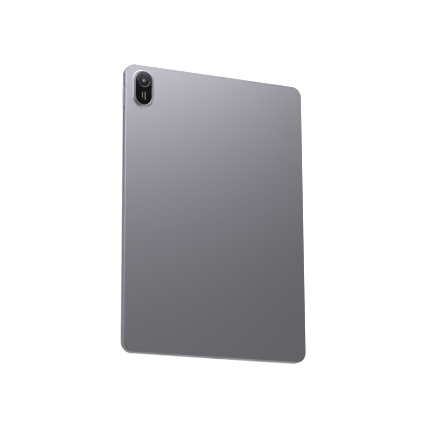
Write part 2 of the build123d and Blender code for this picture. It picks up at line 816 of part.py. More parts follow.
# Lens barrel: a stepped black tube that slides along the optical axis to focus
with BuildPart() as camera_lens_barrel:
    with Locations((*lens_center, barrel_front)):
        Cylinder(barrel_radius, barrel_shoulder - barrel_front, align=BASE)
        Cylinder(nose_radius, nose_top - barrel_front, align=BASE)
        Cylinder(lens_radius - lens_bulge, nose_top - barrel_front, align=BASE, mode=Mode.SUBTRACT)
    with Locations((*lens_center, nose_top)):
        Cylinder(lens_radius, lens_depth, align=HANGING, mode=Mode.SUBTRACT)
camera_lens_barrel.part.label = "camera_lens_barrel"
export_step(camera_lens_barrel.part, "parts/camera_lens_barrel.step")

# Front lens element: flat below and domed above, seated in the barrel's mouth
lens_seat = nose_top - lens_depth
dome_radius = (lens_radius**2 + lens_bulge**2) / (2 * lens_bulge)
lens_plane = Plane(origin=(*lens_center, lens_seat), x_dir=(1, 0, 0), z_dir=(0, -1, 0))
with BuildPart() as camera_lens:
    with BuildSketch(lens_plane):
        with BuildLine() as section:
            Line((0, 0), (lens_radius, 0))
            Line((lens_radius, 0), (lens_radius, lens_bulge))
            RadiusArc((lens_radius, lens_bulge), (0, 2 * lens_bulge), -dome_radius)
            Line((0, 2 * lens_bulge), (0, 0))
        make_face()
    revolve(axis=Axis((*lens_center, lens_seat), (0, 0, 1)))
camera_lens.part.label = "camera_lens"
export_step(camera_lens.part, "parts/camera_lens.step")

# Camera sensor board, with the sensor chip inside the housing's bore
sensor_board_y = lens_center[1] + camera_size / 2 - sensor_board_size[1] / 2
with BuildPart() as camera_sensor_board:
    with Locations((lens_center[0], sensor_board_y, sensor_board_front)):
        Box(*sensor_board_size, sensor_board_thickness, align=BASE)
    with Locations((*lens_center, camera_front)):
        Box(*sensor_size, sensor_height, align=BASE)
camera_sensor_board.part.label = "camera_sensor_board"
export_step(camera_sensor_board.part, "parts/camera_sensor_board.step")

# Camera flex: from under the sensor board to the main board's edge
camera_flex_start = lens_center[0] - sensor_board_size[0] / 2
camera_flex_end = main_board_left + connector_width
with BuildPart() as camera_flex:
    with Locations(((camera_flex_start + camera_flex_end) / 2, camera_flex_y, flex_front)):
        Box(camera_flex_end - camera_flex_start, flex_width, flex_thickness, align=BASE)
camera_flex.part.label = "camera_flex"
export_step(camera_flex.part, "parts/camera_flex.step")

# Front camera, at the middle of the long side's glass border
with BuildPart() as front_camera:
    with Locations((front_camera_x, 0, glass_thickness)):
        Box(*front_camera_size, front_camera_height, align=BASE)
        Cylinder(front_camera_lens, light_sensor_height, align=BASE, mode=Mode.SUBTRACT)
front_camera.part.label = "front_camera"
export_step(front_camera.part, "parts/front_camera.step")

with BuildPart() as front_camera_lens_disc:
    with Locations((front_camera_x, 0, glass_thickness + gasket_thickness)):
        Cylinder(front_camera_lens, light_sensor_height - gasket_thickness, align=BASE)
front_camera_lens_disc.part.label = "front_camera_lens"
export_step(front_camera_lens_disc.part, "parts/front_camera_lens.step")

# Ambient light sensor beside it
with BuildPart() as light_sensor:
    with Locations((front_camera_x, light_sensor_y, glass_thickness)):
        Box(light_sensor_size, light_sensor_size, light_sensor_height, align=BASE)
light_sensor.part.label = "light_sensor"
export_step(light_sensor.part, "parts/light_sensor.step")

# Microphone and the rubber boot that seals it to the pinhole
side_plane = Plane(origin=(-side_inner, microphone_y, microphone_z), x_dir=(0, 1, 0), z_dir=(1, 0, 0))
with BuildPart() as microphone_boot:
    with BuildSketch(side_plane):
        Circle(boot_radius)
        Circle(pinhole_radius, mode=Mode.SUBTRACT)
    extrude(amount=boot_length)
microphone_boot.part.label = "microphone_boot"
export_step(microphone_boot.part, "parts/microphone_boot.step")

with BuildPart() as microphone:
    with BuildSketch(side_plane.offset(boot_length)):
        Rectangle(*microphone_size)
    extrude(amount=microphone_depth)
microphone.part.label = "microphone"
export_step(microphone.part, "parts/microphone.step")

# Volume rocker: one bar with a captive flange, tilting on the rib behind its middle
rib_tip = key_flex_front - pivot_gap
rib_axis_depth = rib_tip - pivot_width / 2
with BuildPart() as volume_rocker:
    with BuildSketch(volume_plane.offset(-key_stand)):
        SlotOverall(volume_length, key_height)
    extrude(amount=key_stand + flange_back)
    fillet(volume_rocker.edges().group_by(Axis.X)[0], key_round)
    with BuildSketch(volume_plane.offset(rocker_flange_front)):
        Rectangle(volume_length + flange_extra * 2, key_height + 2 * flange_side)
    extrude(amount=flange_back - rocker_flange_front)
    with BuildSketch(volume_plane.offset(flange_back)):
        Rectangle(pivot_width, pivot_height)
    extrude(amount=rib_axis_depth - flange_back)
    rib_place = volume_plane.from_local_coords((0, 0, rib_axis_depth))
    with Locations(rib_place):
        Cylinder(pivot_width / 2, pivot_height)
volume_rocker.part.label = "volume_rocker"
export_step(volume_rocker.part, "parts/volume_rocker.step")

# Volume plungers: the switches' round stems, one behind each half of the rocker
for name, side in (("volume_up_plunger", 1), ("volume_down_plunger", -1)):
    with BuildPart() as plunger:
        with BuildSketch(volume_plane.offset(flange_back + plunger_gap)):
            with Locations((side * plunger_spread, 0)):
                Circle(plunger_radius)
        extrude(amount=plunger_length)
    plunger.part.label = name
    export_step(plunger.part, f"parts/{name}.step")

# Power button: a short bar with a captive flange and its own stem, pushed straight in
with BuildPart() as power_button:
    with BuildSketch(power_plane.offset(-key_stand)):
        SlotOverall(power_length, key_height)
    extrude(amount=key_stand + flange_back)
    fillet(power_button.edges().group_by(Axis.Y)[-1], key_round)
    with BuildSketch(power_plane.offset(power_flange_front)):
        Rectangle(power_length + flange_extra * 2, key_height + 2 * flange_side)
    extrude(amount=flange_back - power_flange_front)
    with BuildSketch(power_plane.offset(flange_back)):
        Circle(plunger_radius)
    extrude(amount=plunger_gap + plunger_length)
power_button.part.label = "power_button"
export_step(power_button.part, "parts/power_button.step")

# Key switches: three like bodies, each bored for its stem
switch_places = [(volume_plane, plunger_spread), (volume_plane, -plunger_spread), (power_plane, 0)]
with BuildPart() as key_switches:
    for plane, along in switch_places:
        with BuildSketch(plane.offset(switch_front)):
            with Locations((along, 0)):
                Rectangle(switch_size, switch_size)
        extrude(amount=switch_depth)
        with BuildSketch(plane.offset(switch_front)):
            with Locations((along, 0)):
                Circle(plunger_radius + bore_clearance)
        extrude(amount=switch_depth - switch_floor, mode=Mode.SUBTRACT)
key_switches.part.label = "key_switches"
export_step(key_switches.part, "parts/key_switches.step")

# Key flex: a strip behind each key's switches, joined by a tail that runs to the main board
volume_strip_x = -body_width / 2 + key_flex_front
power_strip_y = body_length / 2 - key_flex_front
tail_x = power_x - power_tabs - tail_offset
with BuildPart() as key_flex:
    for plane, length, _ in keys:
        with BuildSketch(plane.offset(key_flex_front)):
            with Locations((0, (flex_front - key_z) / 2 + switch_size / 4)):
                Rectangle(length, switch_size / 2 + key_z - flex_front)
        extrude(amount=flex_thickness)
    with BuildSketch(Plane.XY.offset(flex_front)):
        with Locations((volume_strip_x + flex_thickness, tail_y)):
            Rectangle(
                main_board_left + tail_lap - volume_strip_x,
                flex_width / 2,
                align=(Align.MIN, Align.CENTER),
            )
        with Locations((tail_x, tail_y)):
            Rectangle(flex_width / 2, power_strip_y - tail_y, align=(Align.CENTER, Align.MIN))
        with Locations((tail_x, power_strip_y)):
            Rectangle(power_x - tail_x, flex_width / 4, align=(Align.MIN, Align.MAX))
    extrude(amount=flex_thickness)
key_flex.part.label = "key_flex"
export_step(key_flex.part, "parts/key_flex.step")

# Key brackets: bent steel plates behind the key flex, screwed to the back by two tabs each
with BuildPart() as key_brackets:
    for plane, _, tabs in keys:
        with BuildSketch(plane.offset(bracket_front)):
            with Locations((0, (bracket_top + flex_back) / 2 - key_z)):
                Rectangle(2 * tabs + tab_width, bracket_top - flex_back)
        extrude(amount=bracket_metal)
        with BuildSketch(plane.offset(bracket_front)):
            with Locations((-tabs, bracket_top - key_z), (tabs, bracket_top - key_z)):
                Rectangle(tab_width, tab_metal, align=(Align.CENTER, Align.MAX))
        extrude(amount=bracket_metal + tab_reach)
    with Locations(*[(place.X, place.Y, bracket_top) for place in bracket_screws]):
        Cylinder(screw_radius + screw_clearance, tab_metal, align=HANGING, mode=Mode.SUBTRACT)
key_brackets.part.label = "key_brackets"
export_step(key_brackets.part, "parts/key_brackets.step")

# Screws: pan heads with plain shanks, the long ones in the two boards and the short ones in
# the key brackets' tabs and the port's strap
with BuildPart() as screws:
    with Locations(*[(x, y, board_front) for x, y in main_screws + usb_screws]):
        Cylinder(head_radius, head_height, align=HANGING)
        Cylinder(screw_radius, board_screw_length, align=BASE)
    with Locations(*[(place.X, place.Y, bracket_top - tab_metal) for place in bracket_screws]):
        Cylinder(head_radius, head_height, align=HANGING)
        Cylinder(screw_radius, bracket_screw_length, align=BASE)
    with Locations(*[(x, y, usb_bracket_front) for x, y in usb_bracket_screws]):
        Cylinder(head_radius, head_height, align=HANGING)
        Cylinder(screw_radius, strap_screw_length, align=BASE)
screws.part.label = "screws"
export_step(screws.part, "parts/screws.step")

# Antennas: plastic blocks with printed conductors, by the upper corner and the long side
with BuildPart() as antennas:
    for (x, y), (width, length) in antennas_plan:
        with Locations((x, y, ceiling)):
            Box(width, length, antenna_thickness, align=HANGING)
antennas.part.label = "antennas"
export_step(antennas.part, "parts/antennas.step")
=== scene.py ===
"""Finishes a slab tablet computer over its CAD frame: camera island, materials and studio."""

import bmesh
import bpy
import numpy as np
from bpy.props import FloatProperty, FloatVectorProperty, PointerProperty
from mathutils import Euler, Matrix, Vector


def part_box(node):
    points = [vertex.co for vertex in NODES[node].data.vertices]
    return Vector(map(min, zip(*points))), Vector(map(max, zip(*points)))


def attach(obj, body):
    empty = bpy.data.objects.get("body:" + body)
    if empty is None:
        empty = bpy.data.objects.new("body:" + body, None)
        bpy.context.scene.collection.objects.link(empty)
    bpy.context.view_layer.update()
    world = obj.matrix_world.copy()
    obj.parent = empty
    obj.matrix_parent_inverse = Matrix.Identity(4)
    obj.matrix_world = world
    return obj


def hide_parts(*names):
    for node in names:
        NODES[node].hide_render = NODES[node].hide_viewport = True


bl_info = {
    "name": "Tablet computer",
    "version": (1, 0, 0),
    "blender": (4, 5, 0),
    "location": "3D View > Sidebar > Tablet",
    "description": "Finishes a slab tablet computer over its CAD frame",
    "category": "Object",
}

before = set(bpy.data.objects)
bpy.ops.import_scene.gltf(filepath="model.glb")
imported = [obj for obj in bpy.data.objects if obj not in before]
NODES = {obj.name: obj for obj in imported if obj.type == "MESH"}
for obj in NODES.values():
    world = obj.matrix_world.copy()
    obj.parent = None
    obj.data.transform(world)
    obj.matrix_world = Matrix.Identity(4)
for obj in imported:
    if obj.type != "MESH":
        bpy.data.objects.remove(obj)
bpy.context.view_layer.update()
MM = 0.001
TURN = 2 * np.pi

# The edges of the housing
BACK_CHAMFER = 0.6 * MM
FRONT_CHAMFER = 0.3 * MM
HAIR = 0.002 * MM  # how far the limits of a cut stay from the faces beside it

# The studio, in metres: where each light hangs, its size and what it is aimed at
LIGHTS = {
    "key_box": ((0.04, 0.63, 0.6), (0.7, 0.5), (0, 0.08, 0)),
    "edge_box": ((-1.0, 0.65, 0.55), (0.6, 0.6), (0, 0, 0)),
    "low_box": ((0.36, -0.58, 0.56), (0.35, 0.35), (-0.07, 0.1, 0)),
    "floor_wash": ((0, 0, 1.6), (1.6, 1.6), (0, 0, 0)),
}
DARK_SIDE = (-0.55, -0.55, 0.62)  # towards the side of the studio that has less light
DARK_FADE = (0.78, 0.95)  # the light fades between about these cosines of the angle to it
DARK_SHARE = 0.25  # the share of the light that is left there
FLOOR_REACH = 3.0
CAMERA_PLACE = (-0.5997, -0.3492, 1.297)
CAMERA_TURN = (13.945, -24.722, -0.282)  # degrees round X, Y and Z


def linear(code):
    """Turns an sRGB hex colour, such as "#8c8b93", into linear red, green and blue."""
    shares = np.array([int(code[i : i + 2], 16) for i in (1, 3, 5)]) / 255
    low = shares / 12.92
    high = ((shares + 0.055) / 1.055) ** 2.4
    return tuple(float(v) for v in np.where(shares <= 0.04045, low, high))


# ---------------------------------------------------------------- surfaces


def rounded(corners, radii, steps=6):
    """Rounds the corners of a closed outline.

    Each corner becomes an arc tangent to both sides. The arc's middle lies on the corner's
    bisector, radius / sin(half the corner's angle) away from the corner, and its points
    turn evenly from one tangent point to the other."""
    corners = np.array(corners, float)
    points = []
    for corner, before, after, radius in zip(
        corners, np.roll(corners, 1, 0), np.roll(corners, -1, 0), radii
    ):
        if not radius:
            points.append(corner[None])
            continue
        back = (before - corner) / np.linalg.norm(before - corner)
        ahead = (after - corner) / np.linalg.norm(after - corner)
        half = np.arccos(np.clip(back @ ahead, -1, 1)) / 2
        bisector = (back + ahead) / np.linalg.norm(back + ahead)
        middle = corner + bisector * radius / np.sin(half)
        start = corner + back * radius / np.tan(half) - middle
        end = corner + ahead * radius / np.tan(half) - middle
        share = np.linspace(0, 1, steps + 1)[:, None]
        sweep = np.pi - 2 * half
        arc = (np.sin((1 - share) * sweep) * start + np.sin(share * sweep) * end) / np.sin(sweep)
        points.append(middle + arc)
    return np.concatenate(points)


def bowed(start, pull, end, steps=8):
    """A curve from start to end, drawn towards pull: (1-t)^2 start + 2t(1-t) pull + t^2 end."""
    t = np.linspace(0, 1, steps + 1)[:, None]
    return (1 - t) ** 2 * np.array(start) + 2 * t * (1 - t) * np.array(pull) + t**2 * np.array(end)


def carried_round(profile, centre, straight=0.0, steps=72):
    """Carries a closed profile of (offset, height, share) points round an oval or a circle.

    The point with offset r at angle a lies at centre + (r cos a, r sin a). In the lower half
    turn it also moves down by share * straight, which leaves straight sides between the two
    halves. A share of 1 follows the oval, and one of 0 stays on the circle round the centre,
    so a profile may run from one to the other. Returns the points, and the four-sided faces
    in rows round the path with one column to each profile point."""
    angle = np.concatenate([np.linspace(0, np.pi, steps + 1), np.linspace(np.pi, TURN, steps + 1)])
    lower = np.repeat([0.0, straight], steps + 1)
    offset, height, share = np.asarray(profile, float).T
    x = centre[0] + np.outer(np.cos(angle), offset)
    y = centre[1] + np.outer(np.sin(angle), offset) - np.outer(lower, share)
    z = np.broadcast_to(height, x.shape)
    points = np.stack([x, y, z], -1).reshape(-1, 3)
    index = np.arange(x.size).reshape(x.shape)
    ahead = np.roll(index, -1, 0)
    return points, np.stack([index, ahead, np.roll(ahead, -1, 1), np.roll(index, -1, 1)], -1)


def with_share(points, share=1.0):
    """Adds the same share of the straight to every (offset, height) point of a profile."""
    points = np.asarray(points, float)
    return np.column_stack([points, np.full(len(points), share)])


def oval(node):
    """Measures an upright oval, or a circle, by its CAD node.

    Returns the middle of its upper half turn, its radius, the length of its straight sides,
    and its lower and upper faces."""
    low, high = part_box(node)
    radius = (high.x - low.x) / 2
    centre = ((low.x + high.x) / 2, high.y - radius)
    return centre, radius, high.y - low.y - 2 * radius, low.z, high.z


def make_piece(name, surface, material, body="housing", crease=35.0, second=None):
    """Makes one closed object from arrays of points and faces, and joins it to a body.

    Seams and poles are merged shut and faces turned outwards. second is another material
    and the first and last profile points between which the faces take it."""
    points, faces = surface
    mesh = bpy.data.meshes.new(name)
    mesh.from_pydata(points.tolist(), [], faces.reshape(-1, 4).tolist())
    mesh.materials.append(material)
    if second:
        mesh.materials.append(second[0])
        column = np.broadcast_to(np.arange(faces.shape[1]), faces.shape[:2]).ravel()
        picked = (column >= second[1]) & (column < second[2])
        mesh.polygons.foreach_set("material_index", picked.astype(np.int32))
    shell = bmesh.new()
    shell.from_mesh(mesh)
    bmesh.ops.remove_doubles(shell, verts=shell.verts, dist=0.001 * MM)
    bmesh.ops.dissolve_degenerate(shell, edges=shell.edges, dist=0.0005 * MM)
    bmesh.ops.recalc_face_normals(shell, faces=shell.faces)
    shell.to_mesh(mesh)
    shell.free()
    mesh.shade_smooth()
    mesh.set_sharp_from_angle(angle=np.radians(crease))
    piece = bpy.data.objects.new(name, mesh)
    bpy.context.scene.collection.objects.link(piece)
    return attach(piece, body)


def dress(material, *names):
    """Gives CAD nodes a finished material in place of their plain one."""
    for name in names:
        NODES[name].data.materials.clear()
        NODES[name].data.materials.append(material)


# ---------------------------------------------------------------- materials


def add_node(tree, kind, sockets=None, **settings):
    """Adds a node, sets its settings, and fills its inputs with values or links."""
    node = tree.nodes.new(kind)
    for key, value in settings.items():
        setattr(node, key, value)
    for key, value in (sockets or {}).items():
        if isinstance(value, bpy.types.NodeSocket):
            tree.links.new(value, node.inputs[key])
        else:
            node.inputs[key].default_value = value
    return node


def start_material(name, colour, metallic=0.0, roughness=0.5, **constants):
    """Starts a material: one shader that holds its constant values, and its output."""
    material = bpy.data.materials.new(name)
    material.use_nodes = True
    tree = material.node_tree
    tree.nodes.clear()
    sockets = {"Base Color": (*colour, 1), "Metallic": metallic, "Roughness": roughness}
    sockets.update({key.replace("_", " "): value for key, value in constants.items()})
    shader = add_node(tree, "ShaderNodeBsdfPrincipled", sockets)
    add_node(tree, "ShaderNodeOutputMaterial", {"Surface": shader.outputs["BSDF"]})
    return material, tree, shader


def colour_by(tree, shader, factor, low, high):
    """Colours the shader low where the factor is 0, and high where it is 1."""
    mix = add_node(tree, "ShaderNodeMix", data_type="RGBA")
    tree.links.new(factor, mix.inputs[0])
    for socket, colour in ((mix.inputs[6], low), (mix.inputs[7], high)):
        if isinstance(colour, bpy.types.NodeSocket):
            tree.links.new(colour, socket)
        else:
            socket.default_value = (*colour, 1)
    tree.links.new(mix.outputs[2], shader.inputs["Base Color"])
    return mix.outputs[2]


def rough_by(tree, shader, factor, low, high):
    """Sets the roughness to low where the factor is 0, and to high where it is 1."""
    spread = add_node(
        tree, "ShaderNodeMapRange", {"Value": factor, "To Min": low, "To Max": high}
    )
    tree.links.new(spread.outputs["Result"], shader.inputs["Roughness"])


def place(tree, stretch=(1.0, 1.0, 1.0), centre=(0.0, 0.0, 0.0)):
    """The point on the surface, from a centre, and stretched for a pattern with a direction."""
    coords = add_node(tree, "ShaderNodeTexCoord")
    mapping = add_node(
        tree,
        "ShaderNodeMapping",
        {
            "Vector": coords.outputs["Object"],
            "Location": tuple(-c * s for c, s in zip(centre, stretch)),
            "Scale": stretch,
        },
    )
    return mapping.outputs["Vector"]


def relief(tree, shader, height, depth):
    """Bumps the surface by a height of 0 to 1, at its real depth."""
    bump = add_node(tree, "ShaderNodeBump", {"Height": height, "Distance": depth})
    tree.links.new(bump.outputs["Normal"], shader.inputs["Normal"])


def grain(tree, size, stretch=(1.0, 1.0, 1.0), detail=3.0):
    """Noise of 0 to 1 whose patches have a real size."""
    sockets = {"Vector": place(tree, stretch), "Scale": 1 / size, "Detail": detail}
    return add_node(tree, "ShaderNodeTexNoise", sockets).outputs["Fac"]


def bands(tree, axis, pitch, share):
    """1 on a share of each pitch along an axis, and 0 between: remainder < share of pitch."""
    parts = add_node(tree, "ShaderNodeSeparateXYZ", {"Vector": place(tree)})
    along = {0: parts.outputs[axis], 1: pitch}
    rest = add_node(tree, "ShaderNodeMath", along, operation="FLOORED_MODULO").outputs[0]
    on = {0: rest, 1: share * pitch}
    return add_node(tree, "ShaderNodeMath", on, operation="LESS_THAN").outputs[0]


def between(tree, axis, low, high):
    """1 where the surface lies between two places along an axis, and 0 elsewhere."""
    parts = add_node(tree, "ShaderNodeSeparateXYZ", {"Vector": place(tree)})
    span = {0: parts.outputs[axis], 1: (low + high) / 2, 2: (high - low) / 2}
    return add_node(tree, "ShaderNodeMath", span, operation="COMPARE").outputs[0]


def within(tree, centre, radius):
    """1 inside a circle round a centre, seen from above, and 0 outside it."""
    away = {0: place(tree, (1.0, 1.0, 0.0), centre)}
    length = add_node(tree, "ShaderNodeVectorMath", away, operation="LENGTH").outputs["Value"]
    inside = {0: length, 1: radius}
    return add_node(tree, "ShaderNodeMath", inside, operation="LESS_THAN").outputs[0]


# Finishes with one even texture. Each row holds two colours that the grain mixes, the
# metalness, the least and greatest roughness, the grain in mm, its depth in mm and how it
# is stretched along X, Y and Z.
FINISHES = {
    # Island ring, turned and then anodised: satin, and clearly lighter than the blasted
    # housing, with faint marks from the cutter
    "turned aluminium": ("#84838a", "#8b8a90", 1.0, 0.42, 0.5, 0.3, 0.001, (1, 1, 1)),
    # Lip cut flat with a diamond tool and sealed: satin, in the housing's own grey
    "diamond-cut aluminium": ("#5f5e63", "#67666b", 1.0, 0.4, 0.46, 0.2, 0.0004, (1, 1, 1)),
    # Physical-vapour-coated steel ring: dark chrome, sharp narrow reflections
    "coated steel ring": ("#4c4c50", "#5a5a5e", 1.0, 0.16, 0.22, 0.15, 0.0004, (1, 1, 1)),
    # Polycarbonate trim from a spark-eroded mould: black with a fine, even tooth
    "moulded polycarbonate": ("#101012", "#17171a", 0.0, 0.42, 0.56, 0.25, 0.006, (1, 1, 1)),
    # Closed-cell foam: charcoal, fully matt, with small open cells along its cut faces
    "closed-cell foam": ("#1b1b1d", "#2b2b2e", 0.0, 0.85, 0.98, 0.35, 0.06, (1, 1, 1)),
    # Acrylic adhesive on a clear film: milky, with trapped soft unevenness
    "adhesive film": ("#c9c4b2", "#dcd8ca", 0.0, 0.3, 0.5, 1.6, 0.01, (1, 1, 1)),
    # Stacked diffuser and prism films: pearly white with fine lines across the sheet
    "prism film": ("#cfd2d6", "#e6e8ea", 0.0, 0.22, 0.36, 0.5, 0.004, (12, 0.1, 1)),
    # Foamed white polyester behind the light guide: bright and even, nearly matt
    "foamed polyester": ("#e9eae8", "#f3f4f2", 0.0, 0.5, 0.62, 0.6, 0.004, (1, 1, 1)),
    # Zinc-coated deep-drawn steel: pale grey with faint rolling lines along its length
    "zinc-coated steel": ("#a3a6aa", "#b6b9bc", 1.0, 0.28, 0.42, 0.8, 0.003, (6, 0.5, 1)),
    # Tinned nickel silver for shield cans and brackets: brighter, softly blotched
    "tinned nickel silver": ("#b4b2ab", "#c6c4bd", 1.0, 0.26, 0.4, 1.4, 0.004, (1, 3, 1)),
    # Pressed graphite sheet under clear film: dark grey with a silvery, streaky sheen
    "pressed graphite": ("#2b2c2f", "#3e4043", 0.65, 0.34, 0.5, 1.2, 0.006, (1, 5, 1)),
    # Liquid-crystal polymer connectors and switches: off-black, dry and sharp-edged
    "liquid-crystal polymer": ("#1c1b1a", "#272624", 0.0, 0.5, 0.66, 0.2, 0.006, (1, 1, 1)),
    # Glass-filled nylon: black with short pale fibres lying in the flow of the mould
    "glass-filled nylon": ("#161618", "#242427", 0.0, 0.5, 0.68, 0.5, 0.01, (1, 4, 1)),
    # Epoxy moulding compound on chips: charcoal with a very fine sandy face
    "epoxy moulding": ("#1d1e20", "#292a2d", 0.0, 0.5, 0.62, 0.12, 0.004, (1, 1, 1)),
    # Nickel-plated neodymium: bright, slightly yellow metal with soft waviness
    "nickel-plated magnet": ("#b9b5aa", "#c9c5bb", 1.0, 0.2, 0.3, 1.0, 0.003, (1, 1, 1)),
    # Stainless steel drawn into the port's shell: grey metal with lines along the draw
    "drawn stainless steel": ("#9fa0a2", "#b3b4b6", 1.0, 0.22, 0.34, 0.5, 0.003, (8, 0.4, 8)),
    # Black polyamide moulded round contacts
    "moulded polyamide": ("#121214", "#1b1b1e", 0.0, 0.38, 0.5, 0.2, 0.004, (1, 1, 1)),
    # Black-anodised aluminium lens barrel, turned: very dark, with a satin edge light
    "black-anodised barrel": ("#0c0c0e", "#141417", 0.4, 0.3, 0.42, 0.15, 0.003, (1, 1, 1)),
    # Nickel-plated brass microphone can
    "plated microphone can": ("#b8a878", "#c8b98c", 1.0, 0.24, 0.34, 0.4, 0.002, (1, 1, 1)),
    # Acetal plungers: ivory, slippery and slightly waxy
    "moulded acetal": ("#dedace", "#e8e5da", 0.0, 0.34, 0.46, 0.3, 0.003, (1, 1, 1)),
    # Black-nickel plated machine screws: dark metal with bright worn spots
    "black-nickel steel": ("#4b4a4c", "#66656a", 1.0, 0.22, 0.36, 0.3, 0.003, (1, 1, 1)),
    # Screen-printed pearl ink: grey, thin, and a little glossy
    "printed pearl ink": ("#4c4e53", "#606267", 0.2, 0.3, 0.4, 0.2, 0.001, (1, 1, 1)),
    # Laser-structured antenna carrier: warm grey plastic, fine tooth
    "antenna plastic": ("#8f8c86", "#9c9993", 0.0, 0.46, 0.58, 0.25, 0.005, (1, 1, 1)),
}


def even_finish(name):
    """Makes one of the finishes in the table."""
    first, second, metallic, low, high, size, depth, stretch = FINISHES[name]
    material, tree, shader = start_material(name, linear(first), metallic, (low + high) / 2)
    noise = grain(tree, size * MM, stretch)
    colour_by(tree, shader, noise, linear(first), linear(second))
    rough_by(tree, shader, noise, low, high)
    relief(tree, shader, noise, depth * MM)
    return material


def blasted_aluminium(name, look, cuts):
    """Bead-blasted and anodised aluminium with diamond-cut edges.

    Blasting gives a soft, even sheen with a grain almost too fine to see, and the dye a
    cool grey. The edges are cut afterwards, so they are brighter and smoother. The real
    grain is about 0.05 mm and is drawn coarser, so that it shows. cuts are the places
    (axis, low, high) between which the surface is cut."""
    material, tree, shader = start_material(name, look.housing, 1.0, look.housing_roughness)
    noise = grain(tree, look.blast_grain, detail=2.0)
    shade = [tuple(c * s for c in look.housing) for s in (1 - look.mottle, 1 + look.mottle)]
    mottled = colour_by(tree, shader, noise, *shade)
    relief(tree, shader, noise, look.blast_depth)
    cut = between(tree, *cuts[0])
    for place_of_cut in cuts[1:]:
        both = {0: cut, 1: between(tree, *place_of_cut)}
        cut = add_node(tree, "ShaderNodeMath", both, operation="MAXIMUM").outputs[0]
    colour_by(tree, shader, cut, mottled, look.cut)
    rough_by(tree, shader, cut, look.housing_roughness, look.cut_roughness)
    return material


def black_glass(name, colour, roughness, level):
    """Strengthened glass with black ink fired behind it: deep black under a gloss.

    A coating against reflections lowers the specular level below the usual half."""
    material, tree, shader = start_material(
        name, colour, roughness=roughness, IOR=1.5, Specular_IOR_Level=level
    )
    noise = grain(tree, 5 * MM, detail=1.0)
    colour_by(tree, shader, noise, colour, tuple(c * 1.3 for c in colour))
    rough_by(tree, shader, noise, roughness, roughness * 1.5)
    return material


def clear_glass():
    """Polished optical glass: almost colourless, and seen mainly by its reflections."""
    material, tree, shader = start_material(
        "optical glass", linear("#f4f7fa"), roughness=0.02, Transmission_Weight=1.0, IOR=1.5
    )
    noise = grain(tree, 2 * MM, detail=1.0)
    rough_by(tree, shader, noise, 0.015, 0.03)
    return material


def lens_with_painted_glint(name, node):
    """Lens glass with an anti-reflection coating, and a painted blue glint at the middle that fades
    to black outside.
    """
    low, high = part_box(node)
    middle, radius = (low + high) / 2, (high.x - low.x) / 2
    material, tree, shader = start_material(
        name, linear("#0a0c14"), roughness=0.06, IOR=1.7, Coat_Weight=1.0, Coat_Roughness=0.03
    )
    # Painted glint: a gradient from the lens's middle to its edge stands in for the lights' blue
    # reflection in the coating
    rings = add_node(
        tree,
        "ShaderNodeTexGradient",
        {"Vector": place(tree, (1 / radius, 1 / radius, 0), middle)},
        gradient_type="SPHERICAL",
    )
    # Painted blue glint at the middle, fading to black at the lens's edge
    colour_by(tree, shader, rings.outputs["Fac"], linear("#030406"), linear("#7ab6ff"))
    rough_by(tree, shader, rings.outputs["Fac"], 0.1, 0.04)
    return material


def screen_glass():
    """The front glass: black ink round the edge, and the dark panel bonded behind the rest.

    Switched off, the panel's area is a shade lighter and bluer than the ink. A clear dot in
    the ink shows the front camera's lens."""
    low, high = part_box("lcd_cell")
    eye_low, eye_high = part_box("front_camera_lens")
    eye = (eye_low + eye_high) / 2
    material, tree, shader = start_material(
        "bonded screen glass", linear("#060607"), roughness=0.04, IOR=1.5
    )
    spans = {
        0: between(tree, "X", low.x + 2 * MM, high.x - 2 * MM),
        1: between(tree, "Y", low.y + 2 * MM, high.y - 2 * MM),
    }
    area = add_node(tree, "ShaderNodeMath", spans, operation="MULTIPLY").outputs[0]
    panel = colour_by(tree, shader, area, linear("#060607"), linear("#101216"))
    dot = within(tree, eye, 1.7 * MM)
    iris = colour_by(tree, shader, dot, panel, linear("#10182a"))
    pupil = within(tree, eye, 0.8 * MM)
    colour_by(tree, shader, pupil, iris, linear("#020203"))
    noise = grain(tree, 8 * MM, detail=1.0)
    rough_by(tree, shader, noise, 0.035, 0.06)
    return material


def panel_glass():
    """The liquid-crystal cell: dark glass over rows of colour filters, drawn 0.6 mm apart
    instead of 0.1 mm so that the rows show."""
    material, tree, shader = start_material(
        "liquid-crystal cell", linear("#14161a"), roughness=0.12, IOR=1.5
    )
    rows = bands(tree, "Y", 0.6 * MM, 0.5)
    colour_by(tree, shader, rows, linear("#121418"), linear("#1a1c22"))
    rough_by(tree, shader, rows, 0.1, 0.16)
    return material


def dotted_acrylic():
    """Clear acrylic light guide with printed white dots that throw the light out."""
    material, tree, shader = start_material(
        "light-guide acrylic", linear("#dfe6ea"), roughness=0.12, IOR=1.49
    )
    cells = add_node(tree, "ShaderNodeTexVoronoi", {"Vector": place(tree), "Scale": 1 / (1.2 * MM)})
    near = {0: cells.outputs["Distance"], 1: 0.3}
    dots = add_node(tree, "ShaderNodeMath", near, operation="LESS_THAN").outputs[0]
    colour_by(tree, shader, dots, linear("#cfdadf"), linear("#f6f8f8"))
    rough_by(tree, shader, dots, 0.08, 0.5)
    return material


def lamp_board():
    """White-masked strip of lamps: yellow phosphor squares 6 mm apart."""
    material, tree, shader = start_material("lamp strip", linear("#eceae2"), roughness=0.4)
    lamps = bands(tree, "X", 6 * MM, 0.45)
    colour_by(tree, shader, lamps, linear("#eceae2"), linear("#e2c23a"))
    rough_by(tree, shader, lamps, 0.45, 0.25)
    return material


